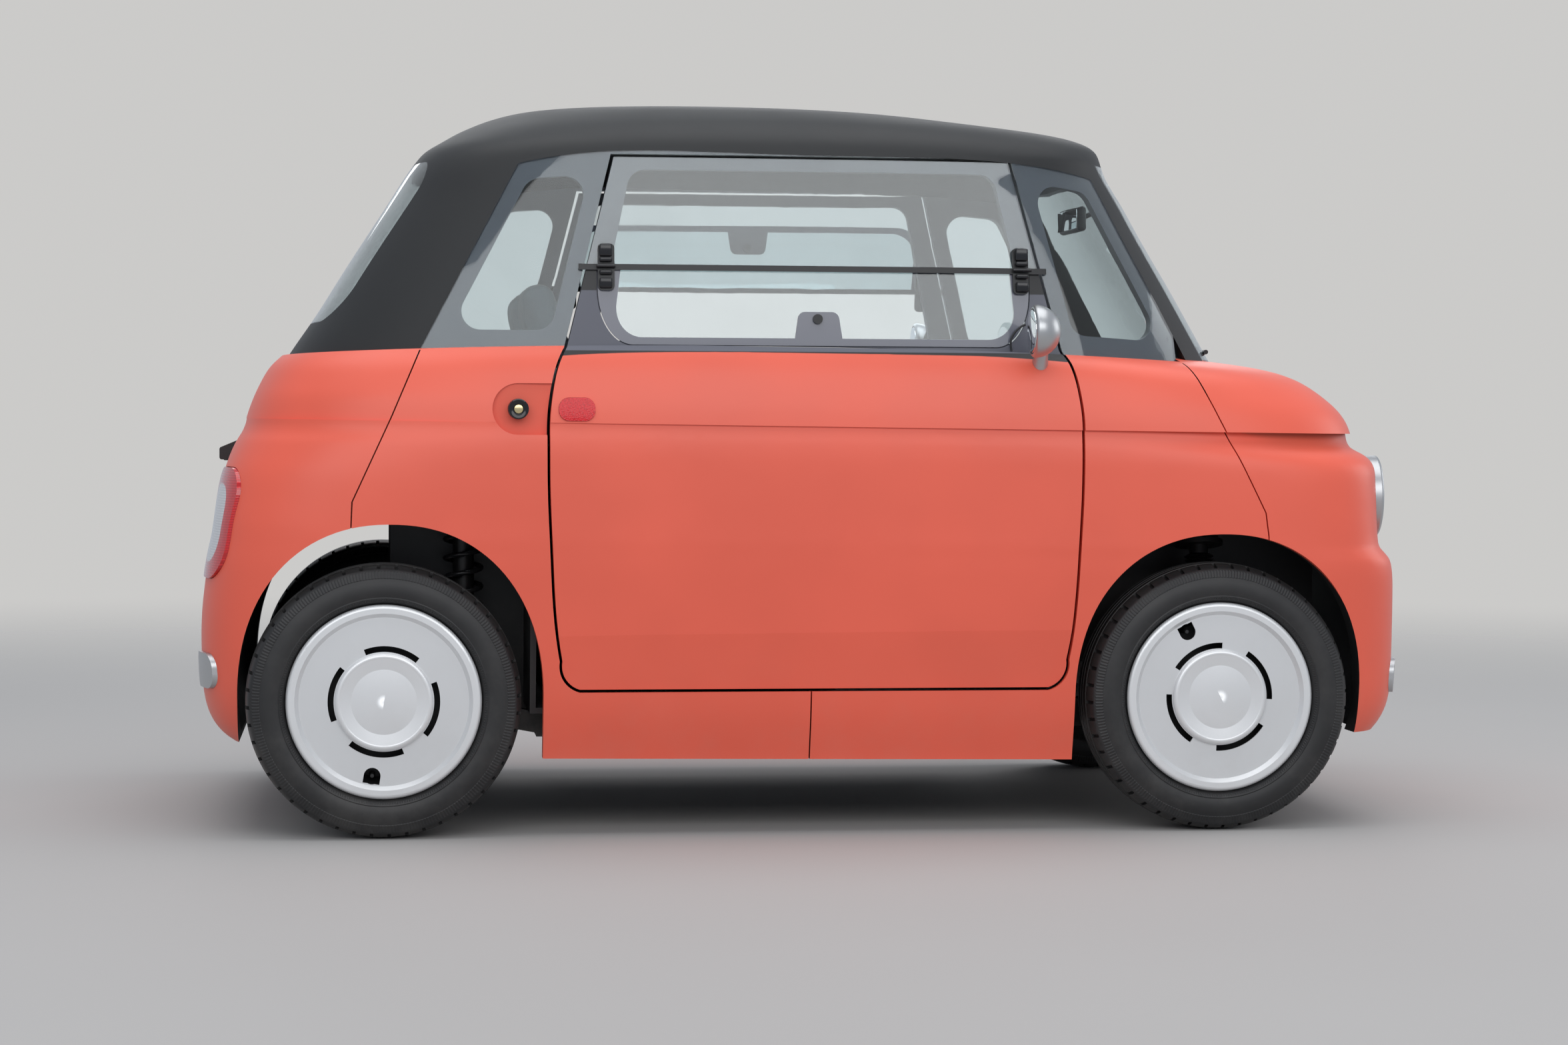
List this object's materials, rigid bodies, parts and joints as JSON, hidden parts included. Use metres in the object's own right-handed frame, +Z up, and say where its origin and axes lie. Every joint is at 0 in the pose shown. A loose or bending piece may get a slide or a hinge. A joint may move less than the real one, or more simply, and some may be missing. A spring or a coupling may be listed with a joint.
{
  "type": "electric microcar",
  "caption": "Small two-seat electric car with a coral body, black roof, round headlamps, silver wheel covers and flap-up door windows",
  "frame": {"origin": "on the ground at the centre of the whole object's bounding box", "axes": "X forward to the nose, Y to the car's left side, Z up"},
  "size_m": [2.5357, 1.592, 1.53],
  "materials": {
    "body_paint": "satin",
    "roof_plastic": "satin",
    "black_plastic": "matte",
    "clear_glass": "clear",
    "red_lens": "gloss",
    "bright_trim": "bright",
    "tyre_rubber": "matte",
    "wheel_paint": "satin",
    "dark_steel": "satin",
    "cast_alloy": "satin",
    "seat_fabric": "woven"
  },
  "bodies": {
    "chassis": {"front_shell": "body_paint", "rear_shell": "body_paint", "side_panel_front_right": "body_paint", "side_panel_rear_right": "body_paint", "side_panel_front_left": "body_paint", "side_panel_rear_left": "body_paint", "roof_panel": "roof_plastic", "rear_cap": "roof_plastic", "screen_pillars": "roof_plastic", "door_locks": "black_plastic", "rear_window": "clear_glass", "windscreen": "clear_glass", "quarter_windows": "clear_glass", "window_frames": "black_plastic", "headlamp_housings": "bright_trim", "headlamp_lenses": "clear_glass", "tail_lamps": "red_lens", "bumper_pads": "bright_trim", "plate_lamp_cover": "black_plastic", "front_suspension": "dark_steel", "rear_axle": "dark_steel", "rear_dampers": "dark_steel", "chassis_frame": "dark_steel", "drive_unit": "cast_alloy", "drive_shafts": "dark_steel", "battery_pack": "black_plastic", "floor_pan": "black_plastic", "cowl_panel": "black_plastic", "dashboard": "black_plastic", "steering_column": "dark_steel", "seat_shells": "black_plastic", "seat_cushions": "seat_fabric", "seat_backrests": "seat_fabric"},
    "door_right": {"door_right": "body_paint", "door_window_right": "clear_glass", "window_hinge_right": "black_plastic", "window_flap_right": "clear_glass", "flap_latch_right": "black_plastic", "door_reflector_right": "red_lens", "mirror_right": "bright_trim"},
    "door_left": {"door_left": "body_paint", "door_window_left": "clear_glass", "window_hinge_left": "black_plastic", "window_flap_left": "clear_glass", "flap_latch_left": "black_plastic", "door_reflector_left": "red_lens", "mirror_left": "bright_trim"},
    "steering_wheel": {"steering_wheel": "black_plastic"},
    "knuckle_right": {"front_knuckle_right": "dark_steel"},
    "knuckle_left": {"front_knuckle_left": "dark_steel"},
    "wheel_front_right": {"tyre_front_right": "tyre_rubber", "wheel_front_right": "wheel_paint"},
    "wheel_front_left": {"tyre_front_left": "tyre_rubber", "wheel_front_left": "wheel_paint"},
    "wheel_rear_right": {"tyre_rear_right": "tyre_rubber", "wheel_rear_right": "wheel_paint"},
    "wheel_rear_left": {"tyre_rear_left": "tyre_rubber", "wheel_rear_left": "wheel_paint"}
  },
  "joints": [
    {"name": "door_right_hinge", "type": "hinge", "parent": "chassis", "child": "door_right", "pos_m": [0.553, -0.7, 0.65], "axis": [0, 0, 1], "range_deg": [0, 70]},
    {"name": "door_left_hinge", "type": "hinge", "parent": "chassis", "child": "door_left", "pos_m": [-0.567, 0.7, 0.65], "axis": [0, 0, 1], "range_deg": [0, 70]},
    {"name": "steering", "type": "hinge", "parent": "chassis", "child": "steering_wheel", "pos_m": [0.25, 0.262, 0.792], "axis": [-0.9135, 0, 0.4067], "range_deg": [-448, 448]},
    {"name": "knuckle_right_steer", "type": "hinge", "parent": "chassis", "child": "knuckle_right", "pos_m": [0.843, -0.56, 0.165], "axis": [0, 0.2116, 0.9774], "range_deg": [-28, 28]},
    {"name": "knuckle_left_steer", "type": "hinge", "parent": "chassis", "child": "knuckle_left", "pos_m": [0.843, 0.56, 0.165], "axis": [0, -0.2116, 0.9774], "range_deg": [-28, 28]},
    {"name": "wheel_front_right_spin", "type": "hinge", "parent": "knuckle_right", "child": "wheel_front_right", "pos_m": [0.843, -0.592, 0.2785], "axis": [0, 1, 0], "continuous": true},
    {"name": "wheel_front_left_spin", "type": "hinge", "parent": "knuckle_left", "child": "wheel_front_left", "pos_m": [0.843, 0.592, 0.2785], "axis": [0, 1, 0], "continuous": true},
    {"name": "wheel_rear_right_spin", "type": "hinge", "parent": "chassis", "child": "wheel_rear_right", "pos_m": [-0.885, -0.592, 0.2785], "axis": [0, 1, 0], "continuous": true},
    {"name": "wheel_rear_left_spin", "type": "hinge", "parent": "chassis", "child": "wheel_rear_left", "pos_m": [-0.885, 0.592, 0.2785], "axis": [0, 1, 0], "continuous": true}
  ],
  "couplings": [
    {"joint": "knuckle_right_steer", "follows": "steering", "ratio": 0.0625},
    {"joint": "knuckle_left_steer", "follows": "steering", "ratio": 0.0625}
  ]
}
